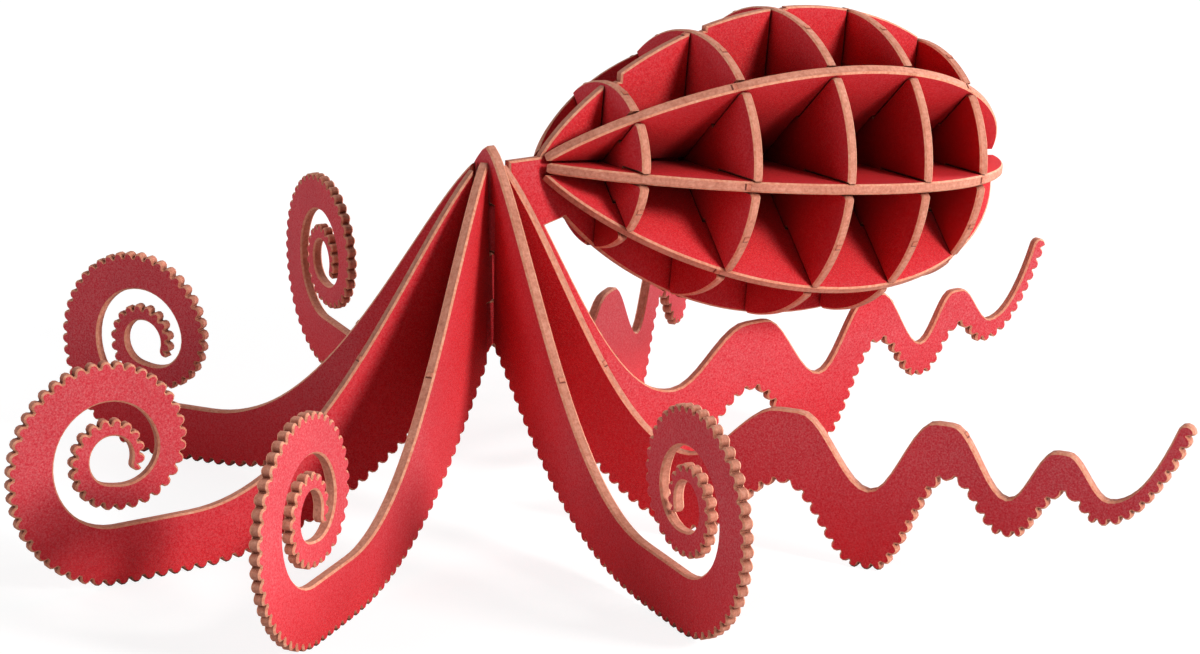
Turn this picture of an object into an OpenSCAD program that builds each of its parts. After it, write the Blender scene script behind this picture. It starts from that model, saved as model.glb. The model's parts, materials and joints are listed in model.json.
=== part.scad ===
// Octopus that slots together from flat board. Four upright plates cross on one hub axis and end
// in eight arms. The keel plate also carries the head, a cage of round discs and curved ribs.
// Millimetres, +Z up, floor at z = 0, hub axis on Z, head towards +X.

/* [Board] */
// Thickness of the board that every piece is cut from
board = 1.8; // [1.5:0.1:2]
// Gap between a slot's wall and the board that stands in it
slot_gap = 0.1; // [0.05:0.05:0.2]
// Radius that eases the corner at a slot's mouth
mouth_round = 1.2; // [0.6:0.1:1.4]

/* [Suckers] */
// Distance from one sucker to the next along an arm's lower edge
sucker_pitch = 2.3; // [2:0.1:2.6]
// Depth of the notch between two suckers, and radius of a sucker's round end
sucker_depth = 0.95; // [0.6:0.05:1.1]

/* [Hub] */
// Height of the hub's top above the floor
hub_top = 62; // [60:0.5:64]
// Height above the floor at which the arms' lower edges meet under the hub
hub_bottom = 28.5; // [27:0.5:31]
// Smallest angle to which two plates can close in the hub
closing_angle = 30; // [28:1:32]
// Angle from the keel to the plate that stands nearest to it
near_plate_angle = 36; // [34:1:45]
// Angle from the keel to the plate with two spiral arms
cross_plate_angle = 85; // [78:1:86]
// Angle from the keel to the third arm plate
far_plate_angle = 121; // [120:1:135]
// Angle by which the plate with two spiral arms stands tipped up in the hub
cross_plate_tip = 2.8; // [0:0.1:3]
// Height by which that plate's top is cut lower, so that it ends level with the others
cross_plate_cut = 2; // [0:0.1:3]

/* [Spiral arms] */
// Distance from the hub's axis at which the arm has come down to the floor
spiral_run = 56.5; // [53:0.5:59]
// Distance from the hub's axis to the centre of the spiral
spiral_reach = 69.8; // [66:0.1:75]
// Radius of the outer coil where it leaves the floor
outer_coil = 20; // [19.4:0.1:21]
// Radius that the outer coil loses in a full turn
outer_shrink = 9.4; // [9:0.1:10]
// Radius at which the inner coil begins
inner_coil = 7.9; // [7.6:0.1:8.2]
// Radius that the inner coil loses in a full turn
inner_shrink = 3; // [2.6:0.1:3.2]
// Height of a coil as a multiple of its width
coil_stretch = 1.05; // [1:0.01:1.1]
// Width of the arm where the spiral leaves the floor
spiral_width = 9.5; // [8.6:0.1:10]
// Share of its width that the arm keeps after a full turn
width_kept = 0.43; // [0.38:0.01:0.46]
// Angle that the spiral turns through, from the floor to its tip
spiral_turn = 650; // [600:5:660]

/* [Wavy arms] */
// Distance from the hub's axis to the first trough
wave_start = 37; // [35:0.5:40]
// Height of the upper edge at the first trough
trough_top = 15.2; // [14.5:0.1:16.5]
// Height of the lower edge at the first trough
trough_bottom = 1.8; // [1:0.1:3]
// Radius of the round end of the tip
tip_round = 1.4; // [1.2:0.1:1.6]

/* [Head] */
// Distance from the hub's axis to the head's front point, along the head's axis
head_start = 8.8; // [8:0.1:9.5]
// Length of the head
head_length = 98; // [94:0.2:104]
// Radius of the head at its widest
head_radius = 27.5; // [25:0.1:28]
// Height of the head's axis where it crosses the hub's axis
head_height = 59.6; // [58.6:0.1:60.2]
// Angle by which the head's axis drops towards the rear
head_drop = 5.8; // [5:0.1:8]
// Distance from the head's front point to the first disc
front_bay = 13.3; // [12:0.1:14]
// Distance from the last disc to the head's rear point
rear_bay = 18.2; // [16:0.1:20]

/* [Neck] */
// Height of the neck's top above the point where the head's axis crosses the hub's axis
neck_rise = 0.6; // [0.4:0.1:1]
// Length of the neck's level top, counted from the head's front point
neck_level = 2; // [1:0.5:3]
// Length of the neck under the head, counted from the head's front point
neck_reach = 7.6; // [7:0.1:8]
// Depth of the centre of the round notch below the point where the head's axis crosses the hub's axis
neck_depth = 12; // [11.5:0.1:12.5]
// Radius of the round notch between the neck and the arm below it
neck_notch = 1.8; // [1.4:0.1:2]

/* [Hidden] */

face_red = "crimson";
disc_count = 5;
disc_pitch = (head_length - front_bay - rear_bay) / (disc_count - 1);
slot_width = board + 2 * slot_gap;
rib_spacing = 45;

// Each plate keeps a bridge over one quarter of the hub's height, counted from the top
cross_place = 0;
far_place = 1;
near_place = 2;
keel_place = 3;
hub_plates = 4;
bridge = (hub_top - hub_bottom) / hub_plates;
hub_middle = (hub_top + hub_bottom) / 2;
cross_top = hub_top - cross_plate_cut;
cross_plate_lift = spiral_reach * sin(cross_plate_tip) - hub_middle * (1 - cos(cross_plate_tip));
// It rests on the plate under it by the end of its slot, at the side where the tip brings that lowest
cross_seat = cross_plate_lift - crossing_width(closing_angle) / 2 * sin(cross_plate_tip);

// The outer coil stands on the floor, so its radius there sets the height of its centre
spiral_height = coil_stretch * outer_coil;
spiral_step = 8;
coil_change = [255, 375];
tip_step = 30;

// Crests and troughs of the wavy arm, beyond the first trough and above the floor
wave_top = [[18, 25], [31.6, 13.4], [44.3, 26.3], [54.9, 15.4], [63.6, 24.2], [71.3, 17.5]];
wave_low = [[16.8, 12.5], [31.4, 0], [45.4, 17.1], [55, 9.1], [64.2, 17.1], [70.2, 13.3]];
wave_end = [83, 30];
wave_tip_lean = 32;
// Share of each half wave that stays level, at a crest of the upper edge or a trough of the lower one
wave_level = 0.12;

// How fast an edge falls away from the hub: 1 is a plain half wave
spiral_top_ease = 0.7;
spiral_low_ease = 0.6;
wave_top_ease = 0.8;
wave_low_ease = 0.8;
slope_steps = 30;
wave_steps = 10;

// The head's outline swells and closes by powers of the distance from its two ends
swell_power = 0.75;
close_power = 0.6;
widest = swell_power / (swell_power + close_power);
swell_peak = pow(widest, swell_power) * pow(1 - widest, close_power);
outline_steps = 60;
rib_inner = board / 2 / tan(rib_spacing / 2) + slot_gap;
neck_top = head_height + neck_rise;
neck_end = head_start + neck_reach;
neck_low = head_height - neck_depth;
neck_slope = 14;

// Where on one sucker its outline has a point, as a share of the pitch, from notch to notch
sucker_points = [0.04, 0.17, 0.37, 0.63, 0.83, 0.96];

function ease(share) = (1 - cos(180 * share)) / 2;
function mix(a, b, share) = a + (b - a) * share;
function backwards(list) = [for (i = [len(list) - 1:-1:0]) list[i]];
function unit(v) = v / norm(v);

// Edge that falls from the hub to its end height over the given reach
function slope(top, end, reach, power) = [
    for (i = [0:slope_steps])
        let (share = i / slope_steps)
            [reach * share, mix(top, end, ease(pow(share, power)))]
];

// Share of a half wave that is done, with its level stretch last or first
function done(share, level_last) =
    level_last ? min(1, share / (1 - wave_level)) : max(0, (share - wave_level) / (1 - wave_level));

// Half waves from one crest or trough to the next
function waves(start, turns, upper) = [
    for (i = [0:len(turns) - 1])
        let (from = i == 0 ? start : [wave_start, 0] + turns[i - 1], to = [wave_start, 0] + turns[i])
            for (j = [1:wave_steps])
                let (share = j / wave_steps, rise = done(share, (to.y > from.y) == upper))
                    [mix(from.x, to.x, share), mix(from.y, to.y, ease(rise))]
];

// Last stretch of a wavy arm, level at the trough and steep at the tip
function last_rise(from, to) = [
    for (j = [1:wave_steps])
        let (share = j / wave_steps)
            [mix(from.x, to.x, share), mix(from.y, to.y, pow(share, 2))]
];

// Distance along a path at each of its points
function distances(path) = [
    for (
        i = 0, run = 0;
        i < len(path);
        run = run + (i < len(path) - 1 ? norm(path[i + 1] - path[i]) : 0), i = i + 1
    )
        run
];

// Depth of the outline at a distance from a sucker's middle: the sucker is a half round
function sucker_side(off) =
    let (share = min(1, abs(off) / sucker_depth)) sucker_depth * (1 - sqrt(1 - share * share));

// Path with a row of round suckers, which end on it and are cut into the side on its left
function suckers(path) =
    let (
        run = distances(path),
        last = len(path) - 1,
        count = round(run[last] / sucker_pitch),
        pitch = run[last] / count,
        xs = [for (i = [0:last]) [run[i], path[i].x]],
        zs = [for (i = [0:last]) [run[i], path[i].y]],
        look = pitch / 10,
        end_depth = min([for (share = sucker_points) sucker_side((share - 0.5) * pitch)])
    ) [
        for (k = [0:count - 1], share = sucker_points)
            let (
                at = (k + share) * pitch,
                here = [lookup(at, xs), lookup(at, zs)],
                ahead = unit([lookup(at + look, xs), lookup(at + look, zs)] - here),
                depth = sucker_side((share - 0.5) * pitch) - end_depth
            ) here + depth * [-ahead.y, ahead.x]
    ];

// Radius of the spiral's scalloped edge, and width of the arm, after a turn from the floor
function coil_radius(turn) =
    let (
        share = (turn - coil_change[0]) / (coil_change[1] - coil_change[0]),
        outer = outer_coil - outer_shrink * turn / 360,
        inner = inner_coil - inner_shrink * (turn - 360) / 360
    ) mix(outer, inner, ease(min(1, max(0, share))));
function coil_width(turn) = spiral_width * pow(width_kept, turn / 360);
function coil_point(turn, radius) =
    [spiral_reach + radius * sin(turn), spiral_height - coil_stretch * radius * cos(turn)];

// Outline of a spiral arm, from the top of the hub round its tip and back under the hub
spiral_floor_top = spiral_height - coil_stretch * (outer_coil - spiral_width);
function spiral_arm(arm_top) = let (
    turns = [for (turn = [0:spiral_step:spiral_turn]) turn],
    last = turns[len(turns) - 1],
    tip_radius = coil_width(last) / 2,
    tip = coil_radius(last) - tip_radius,
    top = concat(
        slope(arm_top, spiral_floor_top, spiral_run, spiral_top_ease),
        [for (turn = turns) coil_point(turn, coil_radius(turn) - coil_width(turn))]
    ),
    end = [
        for (a = [tip_step:tip_step:180 - tip_step])
            coil_point(last, tip - tip_radius * cos(a)) + tip_radius * sin(a) * [cos(last), sin(last)]
    ],
    low = concat(
        slope(hub_bottom, 0, spiral_run, spiral_low_ease),
        [for (turn = turns) coil_point(turn, coil_radius(turn))]
    )
) concat(top, end, backwards(suckers(low)));

// Outline of a wavy arm, in the same order
wavy_arm = let (
    trough = [wave_start, 0],
    lean = [cos(wave_tip_lean), -sin(wave_tip_lean)],
    tip = trough + wave_end,
    top_turns = waves(trough + [0, trough_top], wave_top, true),
    low_turns = waves(trough + [0, trough_bottom], wave_low, false),
    top = concat(
        slope(hub_top, trough_top, wave_start, wave_top_ease),
        top_turns,
        last_rise(top_turns[len(top_turns) - 1], tip - tip_round * lean)
    ),
    end = [
        for (a = [tip_step:tip_step:180 - tip_step])
            tip - tip_round * cos(a) * lean + tip_round * sin(a) * [-lean.y, lean.x]
    ],
    low = concat(
        slope(hub_bottom, trough_bottom, wave_start, wave_low_ease),
        low_turns,
        last_rise(low_turns[len(low_turns) - 1], tip + tip_round * lean)
    )
) concat(top, end, backwards(suckers(low)));

// Outline of a plate with one arm on each side of the hub's axis
function arm_pair(right, left) = concat(
    right,
    [for (i = [len(left) - 2:-1:1]) [-left[i].x, left[i].y]]
);

// Radius of the head at a distance from the hub's axis, measured along the head's axis
function head_share(x) = (x - head_start) / head_length;
function head_swell(share) =
    head_radius * pow(share, swell_power) * pow(1 - share, close_power) / swell_peak;
function disc_x(i) = head_start + front_bay + (i - 1) * disc_pitch;
function disc_radius(i) = head_swell(head_share(disc_x(i)));
function lap_radius(i) = (rib_inner + disc_radius(i)) / 2;
head_edge = [
    for (i = [0:outline_steps])
        let (share = ease(i / outline_steps))
            [head_start + head_length * share, head_swell(share)]
];

// Board standing on edge in the XZ plane
module upright() {
    rotate([90, 0, 0]) linear_extrude(board, center = true) children();
}

module on_head() {
    translate([0, 0, head_height]) rotate([0, head_drop, 0]) children();
}

// Slot that opens towards +Y, with one corner of its mouth eased
module slot(bottom, mouth) {
    translate([-slot_width / 2, bottom]) square([slot_width, mouth - bottom + board]);
    translate([slot_width / 2, mouth - mouth_round]) difference() {
        translate([-slot_gap, 0]) square([mouth_round + slot_gap, mouth_round + board]);
        translate([mouth_round, 0]) circle(mouth_round, $fn = 32);
    }
}

// Width of a slot for a board that stands at an angle in it
function crossing_width(angle) = board * (1 / sin(angle) + 1 / tan(angle)) + 2 * slot_gap;

// The plates cross here: each is slotted above and below its own bridge. The slot above lets
// in the plates that bridge higher up, at the given angle or more. The slot below can be cut
// less deep, for a plate that stands higher on the one under it
module hub_slots(place, angle_above, stands_up) {
    above = hub_top - place * bridge - slot_gap / 2;
    below = hub_top - (place + 1) * bridge + slot_gap / 2 - stands_up;
    if (place > 0) {
        width = crossing_width(angle_above);
        translate([-width / 2, above]) square([width, hub_top]);
    }
    if (place < hub_plates - 1) {
        width = crossing_width(closing_angle);
        translate([-width / 2, 0]) square([width, below]);
    }
}

module arm_plate(right, left, place, angle_above = closing_angle, stands_up = 0) {
    color(face_red) upright() difference() {
        polygon(arm_pair(right, left));
        hub_slots(place, angle_above, stands_up);
    }
}

module spine() {
    translate([0, head_height]) rotate(-head_drop) difference() {
        polygon(concat(head_edge, [for (p = backwards(head_edge)) [p.x, -p.y]]));
        for (i = [1:disc_count]) translate([disc_x(i), 0]) slot(-slot_gap / 2, disc_radius(i));
    }
}

module neck() {
    difference() {
        polygon([
            [0, neck_top], [head_start + neck_level, neck_top],
            [neck_end, head_height], [neck_end, neck_low], [0, neck_low]
        ]);
        translate([neck_end - neck_notch, neck_low]) {
            circle(neck_notch, $fn = 32);
            rotate(neck_slope) translate([-neck_end, -neck_notch]) square([neck_end, 2 * neck_notch]);
        }
    }
}

module keel_plate() {
    color(face_red) upright() difference() {
        union() {
            polygon(arm_pair(wavy_arm, spiral_arm(hub_top)));
            neck();
            spine();
        }
        hub_slots(keel_place, closing_angle, 0);
    }
}

// This plate goes in last. It stands on its right spiral, and its left spiral is raised
module cross_arm_plate() {
    rotate(cross_plate_angle) translate([0, 0, hub_middle + cross_plate_lift])
        rotate([0, -cross_plate_tip, 0]) translate([0, 0, -hub_middle])
            arm_plate(spiral_arm(cross_top), spiral_arm(cross_top), cross_place, stands_up = cross_seat);
}

module far_arm_plate() {
    rotate(far_plate_angle)
        arm_plate(spiral_arm(hub_top), wavy_arm, far_place, far_plate_angle - cross_plate_angle);
}

module near_arm_plate() {
    rotate(near_plate_angle)
        arm_plate(wavy_arm, spiral_arm(hub_top), near_place, cross_plate_angle - near_plate_angle);
}

// Round disc that drops over the spine and takes a rib in each slot of its rim
module head_disc(i) {
    radius = disc_radius(i);
    color(face_red) on_head() translate([disc_x(i), 0, 0])
        rotate([90, 0, 90]) linear_extrude(board, center = true) difference() {
            circle(radius, $fn = 128);
            rotate(180) slot(-slot_gap / 2, radius);
            for (side = [0, 1], turn = [1:3])
                mirror([side, 0]) rotate(-turn * rib_spacing) slot(lap_radius(i) - slot_gap / 2, radius);
        }
}

// Half plate that pushes in from outside, over the discs; turned from the top of the head
module head_rib(turn) {
    color(face_red) on_head() rotate([turn, 0, 0]) upright() difference() {
        polygon([for (p = head_edge) if (p.y > rib_inner) p]);
        for (i = [1:disc_count])
            translate([disc_x(i) - slot_width / 2, 0]) square([slot_width, lap_radius(i) + slot_gap / 2]);
    }
}

keel_plate();
cross_arm_plate();
far_arm_plate();
near_arm_plate();
for (i = [1:disc_count])
    head_disc(i);
head_rib(rib_spacing);  // upper_right_rib
head_rib(2 * rib_spacing);  // side_right_rib
head_rib(3 * rib_spacing);  // lower_right_rib
head_rib(-rib_spacing);  // upper_left_rib
head_rib(-2 * rib_spacing);  // side_left_rib
head_rib(-3 * rib_spacing);  // lower_left_rib
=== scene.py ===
"""Looks of the slot-together octopus: dyed red faces, raw cut edges and the nicks of punching out,
with painted shade in corners, creases and nicks.
"""

import json
import math

import bmesh
import bpy
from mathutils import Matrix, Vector

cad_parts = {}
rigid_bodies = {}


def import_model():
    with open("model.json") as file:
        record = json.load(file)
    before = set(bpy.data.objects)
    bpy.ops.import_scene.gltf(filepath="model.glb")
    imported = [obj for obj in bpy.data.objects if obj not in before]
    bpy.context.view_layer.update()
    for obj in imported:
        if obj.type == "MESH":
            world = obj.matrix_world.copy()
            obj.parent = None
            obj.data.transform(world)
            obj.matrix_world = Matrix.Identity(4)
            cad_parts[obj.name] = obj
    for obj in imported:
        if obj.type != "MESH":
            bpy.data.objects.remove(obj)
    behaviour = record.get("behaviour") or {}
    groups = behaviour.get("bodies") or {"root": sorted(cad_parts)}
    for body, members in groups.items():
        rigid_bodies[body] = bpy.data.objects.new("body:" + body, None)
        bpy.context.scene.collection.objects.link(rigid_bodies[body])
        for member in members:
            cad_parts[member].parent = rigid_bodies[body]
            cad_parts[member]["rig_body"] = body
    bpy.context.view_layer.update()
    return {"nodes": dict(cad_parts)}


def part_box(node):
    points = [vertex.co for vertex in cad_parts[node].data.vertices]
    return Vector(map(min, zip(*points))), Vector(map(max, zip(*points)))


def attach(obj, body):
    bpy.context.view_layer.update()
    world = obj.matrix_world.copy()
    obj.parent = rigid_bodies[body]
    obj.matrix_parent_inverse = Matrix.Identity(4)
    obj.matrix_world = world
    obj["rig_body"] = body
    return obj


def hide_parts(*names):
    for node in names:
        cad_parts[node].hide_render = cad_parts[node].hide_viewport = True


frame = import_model()

MM = 0.001

# The board, and the pale line where the cut breaks its dyed skin.
BOARD = 1.8 * MM
RIM = 0.3 * MM

# Turn of each plate from the keel, in degrees. The head's axis: its height at the hub in millimetres
# over the floor, and the degrees by which it drops towards the rear.
PLATE_TURN = {"keel_plate": 0, "near_arm_plate": 36, "cross_arm_plate": 85, "far_arm_plate": 121}
HEAD_HEIGHT, HEAD_DROP = 59.6, 5.8
DISCS = 5
RIB_TURN = {"upper": 45, "side": 0, "lower": -45}

# Reading the outline of a piece: points closer than MERGE are one, faces within FLAT degrees are one,
# normals with a cosine over PARALLEL are parallel and over FACING look the same way, and a turn with
# a sine under STRAIGHT is none. A corner of the cut edge is sharp from CRISP degrees on.
MERGE = 2e-6
FLAT, CRISP = 0.4, 50
PARALLEL, FACING = 0.999, 0.9
STRAIGHT = 1e-4

# Order of a board's materials, and of those of its nicks.
FACE_INDEX, EDGE_INDEX, RIM_INDEX = 0, 1, 2
NUB_INDEX, NICK_INDEX = 0, 1


def grey(level):
    return (level, level, level)


WHITE = grey(1)

# Noise in the board: features per metre, detail and roughness.
FACE_GRAIN = (5000, 4, 0.6)
FACE_FIBRE = (3000, 4, 0.7)
FACE_CLOUD = (75, 2, 0.55)
EDGE_FIBRE = (1500, 5, 0.7)
EDGE_PATCH = (260, 3, 0.55)
RIM_FIBRE = (1700, 4, 0.6)
NICK_FIBRE = (2200, 3, 0.6)

# Relief of each surface: strength and depth.
FACE_RELIEF = (0.4, 0.00006)
EDGE_RELIEF = (0.6, 0.00012)
RIM_RELIEF = (0.4, 0.00006)
NICK_RELIEF = (0.5, 0.00008)

# Colours by the value of the noise.
DYE = [(0.3, (0.68, 0.030, 0.050)), (0.5, (0.79, 0.043, 0.066)), (0.72, (0.88, 0.115, 0.135))]
FLECK = (0.88, 0.34, 0.35)
FLECK_SHARE = [(0.4, grey(0)), (0.72, grey(0.5))]
DYE_CLOUD = [(0.35, grey(0.93)), (0.65, WHITE)]
FACE_ROUGHNESS = [(0.3, grey(0.66)), (0.7, grey(0.82))]
RAW_FIBRE = [(0.3, (0.62, 0.215, 0.14)), (0.5, (0.80, 0.33, 0.23)), (0.72, (0.90, 0.46, 0.34))]
RAW_PATCH = [(0.35, (0.86, 0.82, 0.80)), (0.62, WHITE)]
TORN_SKIN = [(0.32, (0.82, 0.26, 0.16)), (0.55, (0.93, 0.42, 0.27)), (0.75, (0.96, 0.56, 0.38))]
# Painted shade of a nick's notch.
PAINTED_NOTCH_SHADE = [(0.3, (0.10, 0.022, 0.018)), (0.7, (0.22, 0.06, 0.045))]

# The board's three layers, from its lower face to its upper, and how far loose fibre shifts them.
LAYERS = [
    (0.10, (1, 0.86, 0.82)), (0.30, WHITE), (0.40, (0.93, 0.9, 0.88)), (0.47, WHITE),
    (0.66, WHITE), (0.73, (0.94, 0.91, 0.89)), (0.80, WHITE), (1.0, (1, 0.88, 0.84))]
LAYER_SHIFT = 0.22

# Painted shade in corners and low over the floor, by how open a place is: first a purer red for light
# bounced between the red boards, then dark.
PAINTED_SHADE_REACH, PAINTED_CREASE_REACH = 22 * MM, 1.4 * MM
PAINTED_CORNER_SHADE = [
    (0.08, (0.02, 0.015, 0.015)), (0.17, (0.4, 0.13, 0.1)), (0.28, (1, 0.38, 0.32)),
    (0.5, (1, 0.38, 0.4)), (0.82, (1, 0.45, 0.54)), (1.0, WHITE)]
# Painted shade in the creases of the cut edges and where boards meet.
PAINTED_CREASE_SHADE = [(0.4, (0.1, 0.05, 0.04)), (0.66, (0.55, 0.42, 0.37)), (0.95, WHITE)]
PAINTED_SHADE_SAMPLES = 3

# Nicks: a torn nub beside a notch, whose shadow is painted as a near-black block. NUB_DRAW narrows
# the top, NICK_WIDE widens the notch.
NUB_LONG, NUB_HIGH = 0.9 * MM, 0.16 * MM
NICK_LONG, NICK_HIGH, NICK_WIDE = 0.16 * MM, 0.02 * MM, 1.1
SUNK = 0.06 * MM
NUB_DRAW = 0.8

# Where the nicks are, in millimetres and degrees. On the arms: reach from the hub and height.
# On the head: distance along its axis, turn about it, and reach from it.
ARM_NICK, CREST_NICK = (25.5, 30), (85.5, 25)
SPINE_NICKS = [(36, 90, 25), (72, 90, 27), (42, -90, 25)]
RIB_NICKS = [(35, 26), (88, 24)]
DISC_NICK_TURNS, DISC_NICK_REACH = (66, 114, -24, 204), 30

# Camera: degrees, metres, and the focal length in pixels of a frame so many pixels wide.
CAM_AZ, CAM_EL, CAM_DIST, FOCAL_PX, FRAME_W = -122.86, 15.5, 0.5247, 3120.0, 1200
AIM_RIGHT, AIM_UP = 0.0184, 0.03203
SENSOR = 36
CLIP_NEAR, CLIP_FAR = 0.01, 20

# Lamps: azimuth and elevation in degrees, width in metres, power in watts, colour.
LAMPS = {
    "key": (-68, 24, 0.28, 12, (1, 0.985, 0.96)),
    "side": (6, 12, 0.35, 13, WHITE),
    "fill": (168, 20, 0.6, 2.3, WHITE),
    "back": (105, 25, 0.5, 3.2, WHITE),
}
LAMP_DISTANCE = 1.2
LAMP_AIM = Vector((0.02, 0, 0.035))

# Light from all around, the white that the eye sees behind the model, and the pale floor.
AMBIENT, BACKDROP = 0.07, 0.97
FLOOR_SIZE = 4
FLOOR_GREY, FLOOR_GLOW, FLOOR_PAPER = 0.6, 0.87, 0.28


# --- material nodes ----------------------------------------------------------------------------

def material(name):
    """New material, with its node tree and its shader."""
    new = bpy.data.materials.new(name)
    new.use_nodes = True
    return new, new.node_tree, new.node_tree.nodes["Principled BSDF"]


def node(tree, kind, **values):
    n = tree.nodes.new(kind)
    for key, value in values.items():
        if key in n.inputs:
            n.inputs[key].default_value = value
        else:
            setattr(n, key, value)
    return n


def noise(tree, scale, detail, rough):
    """Noise that is fixed to the piece."""
    place = node(tree, "ShaderNodeTexCoord")
    n = node(tree, "ShaderNodeTexNoise", Scale=scale, Detail=detail, Roughness=rough)
    tree.links.new(place.outputs["Object"], n.inputs["Vector"])
    return n.outputs["Fac"]


def ramp(tree, value, stops):
    n = node(tree, "ShaderNodeValToRGB")
    elements = n.color_ramp.elements
    while len(elements) < len(stops):
        elements.new(0.5)
    for element, (at, colour) in zip(elements, stops):
        element.position = at
        element.color = (*colour, 1)
    tree.links.new(value, n.inputs["Fac"])
    return n.outputs["Color"]


def mix(tree, share, first, second):
    """Second colour laid over the first by a share that varies."""
    n = node(tree, "ShaderNodeMix", data_type="RGBA", blend_type="MIX")
    tree.links.new(share, n.inputs["Factor"])
    tree.links.new(first, n.inputs["A"])
    n.inputs["B"].default_value = (*second, 1)
    return n.outputs["Result"]


def multiply(tree, first, second):
    n = node(tree, "ShaderNodeMix", data_type="RGBA", blend_type="MULTIPLY")
    n.inputs["Factor"].default_value = 1.0
    tree.links.new(first, n.inputs["A"])
    tree.links.new(second, n.inputs["B"])
    return n.outputs["Result"]


def painted_shade(tree, colour, reach, stops):
    """Painted shade: colour that goes deeper in a corner, as far as the given reach from it."""
    n = node(tree, "ShaderNodeAmbientOcclusion", samples=PAINTED_SHADE_SAMPLES, Distance=reach)
    return multiply(tree, colour, ramp(tree, n.outputs["AO"], stops))


def bump(tree, shader, height, strength, distance):
    n = node(tree, "ShaderNodeBump", Strength=strength, Distance=distance)
    tree.links.new(height, n.inputs["Height"])
    tree.links.new(n.outputs["Normal"], shader.inputs["Normal"])


# --- materials ---------------------------------------------------------------------------------

def face_material():
    """Dyed board: an even deep red with a fine felt of paler and darker fibres, and painted shade in
    corners and low over the floor.
    """
    m, tree, shader = material("board_face")
    grain, fibre = noise(tree, *FACE_GRAIN), noise(tree, *FACE_FIBRE)
    base = mix(tree, ramp(tree, fibre, FLECK_SHARE), ramp(tree, grain, DYE), FLECK)
    base = multiply(tree, base, ramp(tree, noise(tree, *FACE_CLOUD), DYE_CLOUD))
    # Painted shade: corners between boards and faces low over the floor go a purer red, then dark.
    base = painted_shade(tree, base, PAINTED_SHADE_REACH, PAINTED_CORNER_SHADE)
    tree.links.new(base, shader.inputs["Base Color"])
    tree.links.new(ramp(tree, fibre, FACE_ROUGHNESS), shader.inputs["Roughness"])
    shader.inputs["Specular IOR Level"].default_value = 0.12
    bump(tree, shader, grain, *FACE_RELIEF)
    return m


def layer_tint(tree, fibre):
    """Tint of the board's layers, their joints frayed by the fibre."""
    depth = node(tree, "ShaderNodeAttribute", attribute_name="board_depth")
    frayed = node(tree, "ShaderNodeMath", operation="MULTIPLY_ADD")
    tree.links.new(fibre, frayed.inputs[0])
    frayed.inputs[1].default_value = LAYER_SHIFT
    tree.links.new(depth.outputs["Fac"], frayed.inputs[2])
    return ramp(tree, frayed.outputs[0], LAYERS)


def edge_material():
    """Raw cut edge: loose pale fibre in three layers, the joints between them a little darker, and
    painted shade in its creases.
    """
    m, tree, shader = material("board_edge")
    fibre = noise(tree, *EDGE_FIBRE)
    base = multiply(tree, ramp(tree, fibre, RAW_FIBRE), layer_tint(tree, fibre))
    base = multiply(tree, base, ramp(tree, noise(tree, *EDGE_PATCH), RAW_PATCH))
    # Painted shade in the creases of the cut edge and where boards meet.
    base = painted_shade(tree, base, PAINTED_CREASE_REACH, PAINTED_CREASE_SHADE)
    tree.links.new(base, shader.inputs["Base Color"])
    shader.inputs["Roughness"].default_value = 0.9
    shader.inputs["Specular IOR Level"].default_value = 0.2
    bump(tree, shader, fibre, *EDGE_RELIEF)
    return m


def rim_material():
    """Line along the cut where the dyed skin is broken and the pale fibre shows."""
    m, tree, shader = material("board_rim")
    fibre = noise(tree, *RIM_FIBRE)
    # Painted shade in the creases of the rim and where boards meet.
    base = painted_shade(tree, ramp(tree, fibre, TORN_SKIN), PAINTED_CREASE_REACH, PAINTED_CREASE_SHADE)
    tree.links.new(base, shader.inputs["Base Color"])
    shader.inputs["Roughness"].default_value = 0.8
    shader.inputs["Specular IOR Level"].default_value = 0.3
    bump(tree, shader, fibre, *RIM_RELIEF)
    return m


def nick_shade_material():
    """Painted shade of a nick: a near-black block where the notch would lie in shadow."""
    m, tree, shader = material("board_nick_painted_shade")
    fibre = noise(tree, *NICK_FIBRE)
    tree.links.new(ramp(tree, fibre, PAINTED_NOTCH_SHADE), shader.inputs["Base Color"])
    shader.inputs["Roughness"].default_value = 0.95
    bump(tree, shader, fibre, *NICK_RELIEF)
    return m


face_finish, edge_finish, rim_finish = face_material(), edge_material(), rim_material()
notch_shade_finish = nick_shade_material()


# --- board pieces ------------------------------------------------------------------------------

def add_object(name, data):
    obj = bpy.data.objects.new(name, data)
    bpy.context.scene.collection.objects.link(obj)
    return obj


def mesh_from(bm, name, materials):
    mesh = bpy.data.meshes.new(name)
    bm.to_mesh(mesh)
    bm.free()
    for m in materials:
        mesh.materials.append(m)
    return mesh


def board_normal(bm):
    """Direction square to the board: that of most of its area."""
    sums = []
    for f in bm.faces:
        for k, (normal, area) in enumerate(sums):
            if abs(normal.dot(f.normal)) > PARALLEL:
                sums[k] = (normal, area + f.calc_area())
                break
        else:
            sums.append((f.normal.copy(), f.calc_area()))
    return max(sums, key=lambda s: s[1])[0]


def cap_outline(source):
    """Axes of the board, two in its plane and its normal, its top along that, and its outline."""
    bm = bmesh.new()
    bm.from_mesh(source.data)
    bmesh.ops.remove_doubles(bm, verts=bm.verts, dist=MERGE)
    bm.normal_update()
    normal = board_normal(bm)
    bmesh.ops.dissolve_limit(bm, angle_limit=math.radians(FLAT), verts=bm.verts, edges=bm.edges,
                             use_dissolve_boundaries=False)
    bm.normal_update()
    cap = max((f for f in bm.faces if f.normal.dot(normal) > FACING), key=lambda f: f.calc_area())
    across = normal.orthogonal().normalized()
    along = normal.cross(across)
    top = cap.verts[0].co.dot(normal)
    loop = [Vector((v.co.dot(across), v.co.dot(along))) for v in cap.verts]
    bm.free()
    return (across, along, normal), top, loop


def crossing(p, p_way, q, q_way):
    """Where two lines cross, or the start of the second where they are nearly one."""
    turn = p_way.cross(q_way)
    if abs(turn) < STRAIGHT:
        return q
    return p + p_way * ((q - p).cross(q_way) / turn)


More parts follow.
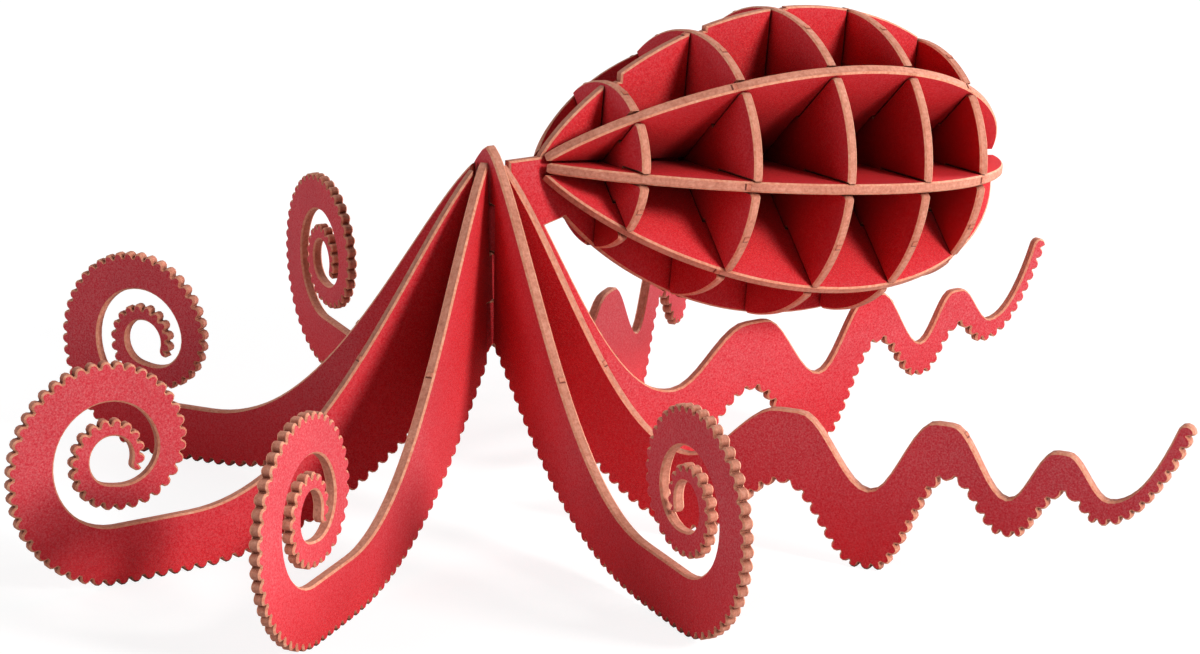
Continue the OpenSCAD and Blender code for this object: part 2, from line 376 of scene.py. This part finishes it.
def inset(loop, step):
    """Outline moved inwards by step: its points, and for each old point the one it moves to.

    A side that would turn round is dropped, so the new outline doesn't cross itself."""
    count = len(loop)
    ways = [(loop[(i + 1) % count] - loop[i]).normalized() for i in range(count)]
    starts = [p + Vector((-way.y, way.x)) * step for p, way in zip(loop, ways)]
    kept = list(range(count))
    while True:
        befores = [kept[k - 1] for k in range(len(kept))]
        corners = [crossing(starts[d], ways[d], starts[e], ways[e]) for d, e in zip(befores, kept)]
        turned = [k for k, e in enumerate(kept)
                  if (corners[(k + 1) % len(kept)] - corners[k]).dot(ways[e]) <= 0]
        if not turned:
            break
        kept.pop(turned[0])
    place, goes = 0, []
    for i in range(count):
        while place < len(kept) and kept[place] < i:
            place += 1
        goes.append(place % len(kept))
    return corners, goes


def strip(bm, ring, low_ring, finish):
    """Band of faces between two rings. Where two points of a ring are one, the face is a triangle."""
    for i in range(len(ring)):
        j = (i + 1) % len(ring)
        corners = [ring[j], ring[i], low_ring[i], low_ring[j]]
        corners = [v for k, v in enumerate(corners) if v is not corners[k - 1]]
        if len(corners) > 2:
            f = bm.faces.new(corners)
            f.material_index = finish
            f.smooth = finish == EDGE_INDEX


def sharpen(bm):
    """Sharp edges between two finishes and at the corners of the outline."""
    for e in bm.edges:
        if len(e.link_faces) == 2:
            a, b = e.link_faces
            if a.material_index != b.material_index or e.calc_face_angle(0) > math.radians(CRISP):
                e.smooth = False


def board_mesh(name, axes, top, loop):
    """Flat faces, raw edge, and between them the sloping line where the cut breaks each face."""
    across, along, normal = axes
    corners, goes = inset(loop, RIM)
    bm = bmesh.new()

    def lift(points, height):
        return [bm.verts.new(across * p.x + along * p.y + normal * (top + height)) for p in points]

    upper, wall_top = lift(corners, 0), lift(loop, -RIM)
    wall_foot, lower = lift(loop, RIM - BOARD), lift(corners, -BOARD)
    strip(bm, [upper[g] for g in goes], wall_top, RIM_INDEX)
    strip(bm, wall_top, wall_foot, EDGE_INDEX)
    strip(bm, wall_foot, [lower[g] for g in goes], RIM_INDEX)
    for cap in (upper, list(reversed(lower))):
        bm.faces.new(cap).material_index = FACE_INDEX
    bm.normal_update()
    sharpen(bm)
    mesh = mesh_from(bm, name, (face_finish, edge_finish, rim_finish))
    depth = mesh.attributes.new("board_depth", "FLOAT", "POINT")
    depth.data.foreach_set("value", [(v.co.dot(normal) - top) / BOARD + 1 for v in mesh.vertices])
    return mesh


def board_piece(name):
    """Piece cut from board, in place of the plain one: the object and its normal."""
    source = frame["nodes"][name]
    axes, top, loop = cap_outline(source)
    piece = add_object(name + "_board", board_mesh(name + "_board", axes, top, loop))
    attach(piece, source["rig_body"])
    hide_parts(name)
    return piece, axes[2]


pieces = {name: board_piece(name) for name in frame["nodes"]}


# --- nicks where the pieces were broken out of their sheet -------------------------------------

def block(bm, place, axes, start, end, finish):
    """Block between two corners along the given axes, its upper face drawn in a little."""
    along, out, across = axes
    middle, half = (start[0] + end[0]) / 2, (end[0] - start[0]) / 2
    rows = []
    for high, draw in ((start[1], 1.0), (end[1], NUB_DRAW)):
        rows.append([
            bm.verts.new(place + along * (middle + u * half * draw) + out * high + across * w * draw)
            for u, w in ((-1, start[2]), (1, start[2]), (1, end[2]), (-1, end[2]))])
    low, top = rows
    faces = [top, list(reversed(low))]
    faces += [[low[i - 1], low[i], top[i], top[i - 1]] for i in (1, 2, 3, 0)]
    for f in faces:
        bm.faces.new(f).material_index = finish


def nicks(name, points):
    """Small torn nub beside a nick with painted shade, on the cut edge of a piece nearest to each
    point.
    """
    piece, normal = pieces[name]
    walls = [f for f in piece.data.polygons if f.material_index == EDGE_INDEX]
    half = BOARD / 2 - RIM
    wide = half * NICK_WIDE
    bm = bmesh.new()
    for point in points:
        wall = min(walls, key=lambda f: (f.center - point).length)
        out = wall.normal.copy()
        axes = (normal.cross(out).normalized(), out, normal)
        block(bm, wall.center, axes, (0, -SUNK, -half), (NUB_LONG, NUB_HIGH, half), NUB_INDEX)
        # The nick's block carries painted shade, near-black, for the notch's shadow.
        block(bm, wall.center, axes, (-NICK_LONG, -SUNK, -wide), (0, NICK_HIGH, wide), NICK_INDEX)
    bmesh.ops.recalc_face_normals(bm, faces=bm.faces)
    obj = add_object(name + "_nicks", mesh_from(bm, name + "_nicks", (edge_finish, notch_shade_finish)))
    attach(obj, frame["nodes"][name]["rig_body"])


def arm_point(azimuth, reach, height):
    a = math.radians(azimuth)
    return Vector((reach * math.cos(a), reach * math.sin(a), height)) * MM


def head_point(along, turn, reach):
    """Point of the head: so far along its axis, turned from its right side, and out from the axis."""
    drop, turn = math.radians(HEAD_DROP), math.radians(turn)
    axis = Vector((math.cos(drop), 0, -math.sin(drop)))
    up = Vector((math.sin(drop), 0, math.cos(drop)))
    out = Vector((0, -math.cos(turn), 0)) + up * math.sin(turn)
    return (Vector((0, 0, HEAD_HEIGHT)) + axis * along + out * reach) * MM


def plate_nicks():
    """One on each arm, one on the crest of a wavy arm, and three on the head's spine."""
    for name, azimuth in PLATE_TURN.items():
        points = [arm_point(azimuth, *ARM_NICK), arm_point(azimuth + 180, *ARM_NICK)]
        if name == "far_arm_plate":
            points.append(arm_point(azimuth + 180, *CREST_NICK))
        elif name != "cross_arm_plate":
            points.append(arm_point(azimuth, *CREST_NICK))
        if name == "keel_plate":
            points += [head_point(*at) for at in SPINE_NICKS]
        nicks(name, points)


def rib_nicks():
    for side, flip in (("right", False), ("left", True)):
        for level, turn in RIB_TURN.items():
            angle = 180 - turn if flip else turn
            points = [head_point(along, angle, reach) for along, reach in RIB_NICKS]
            nicks(f"{level}_{side}_rib", points)


def disc_nicks():
    for i in range(1, DISCS + 1):
        low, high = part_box(f"head_disc_{i}")
        along = (low.x + high.x) / 2 / MM / math.cos(math.radians(HEAD_DROP))
        points = [head_point(along, turn, DISC_NICK_REACH) for turn in DISC_NICK_TURNS]
        nicks(f"head_disc_{i}", points)


plate_nicks()
rib_nicks()
disc_nicks()


# --- camera and lamps --------------------------------------------------------------------------

def aim(obj, place, target):
    obj.location = place
    obj.rotation_mode = "QUATERNION"
    obj.rotation_quaternion = (target - place).to_track_quat("-Z", "Y")


def direction(azimuth, elevation):
    a, e = math.radians(azimuth), math.radians(elevation)
    return Vector((math.cos(a) * math.cos(e), math.sin(a) * math.cos(e), math.sin(e)))


def add_camera():
    data = bpy.data.cameras.new("camera")
    data.sensor_width = SENSOR
    data.lens = SENSOR * FOCAL_PX / FRAME_W
    data.clip_start, data.clip_end = CLIP_NEAR, CLIP_FAR
    camera = add_object("camera", data)
    target = direction(CAM_AZ + 90, 0) * AIM_RIGHT + Vector((0, 0, AIM_UP))
    aim(camera, target + direction(CAM_AZ, CAM_EL) * CAM_DIST, target)
    bpy.context.scene.camera = camera


def add_lamp(name, azimuth, elevation, size, power, colour):
    data = bpy.data.lights.new(name, "AREA")
    data.shape = "DISK"
    data.size = size
    data.energy = power
    data.color = colour
    aim(add_object(name, data), LAMP_AIM + direction(azimuth, elevation) * LAMP_DISTANCE, LAMP_AIM)


add_camera()
for name, settings in LAMPS.items():
    add_lamp(name, *settings)


# --- backdrop and floor ------------------------------------------------------------------------

def larger(tree, first, second):
    n = node(tree, "ShaderNodeMath", operation="MAXIMUM")
    tree.links.new(first, n.inputs[0])
    tree.links.new(second, n.inputs[1])
    return n.outputs[0]


def seen_by_eye(tree):
    """1 for rays from the camera, off a mirror or through glass, 0 for light between surfaces."""
    path = node(tree, "ShaderNodeLightPath").outputs
    mirrored = larger(tree, path["Is Glossy Ray"], path["Is Transmission Ray"])
    return larger(tree, path["Is Camera Ray"], mirrored)


def for_light_and_eye(tree, light, eye, output):
    """One shader for the light between surfaces, another for what the eye sees."""
    n = node(tree, "ShaderNodeMixShader")
    for value, socket in zip((seen_by_eye(tree), light, eye), n.inputs):
        tree.links.new(value, socket)
    tree.links.new(n.outputs[0], tree.nodes[output].inputs["Surface"])


def add_world():
    world = bpy.data.worlds.new("studio")
    world.use_nodes = True
    tree = world.node_tree
    ambient = tree.nodes["Background"]
    ambient.inputs["Color"].default_value = (*WHITE, 1)
    ambient.inputs["Strength"].default_value = AMBIENT
    backdrop = node(tree, "ShaderNodeBackground", Color=(*grey(BACKDROP), 1), Strength=1.0)
    for_light_and_eye(tree, ambient.outputs[0], backdrop.outputs[0], "World Output")
    bpy.context.scene.world = world


def floor_material():
    """Grey for the light that it throws back, and for the eye nearly white, with the shadow kept."""
    m, tree, shader = material("pale_floor")
    shader.inputs["Base Color"].default_value = (*grey(FLOOR_GREY), 1)
    shader.inputs["Roughness"].default_value = 0.9
    shader.inputs["Specular IOR Level"].default_value = 0.1
    glow = node(tree, "ShaderNodeEmission", Strength=FLOOR_GLOW)
    paper = node(tree, "ShaderNodeBsdfDiffuse", Color=(*grey(FLOOR_PAPER), 1))
    both = node(tree, "ShaderNodeAddShader")
    tree.links.new(glow.outputs[0], both.inputs[0])
    tree.links.new(paper.outputs[0], both.inputs[1])
    for_light_and_eye(tree, shader.outputs[0], both.outputs[0], "Material Output")
    return m


def add_floor():
    bm = bmesh.new()
    bmesh.ops.create_grid(bm, x_segments=1, y_segments=1, size=FLOOR_SIZE)
    floor = add_object("floor", mesh_from(bm, "floor", (floor_material(),)))


add_world()
add_floor()
bpy.context.scene.view_settings.view_transform = "Standard"
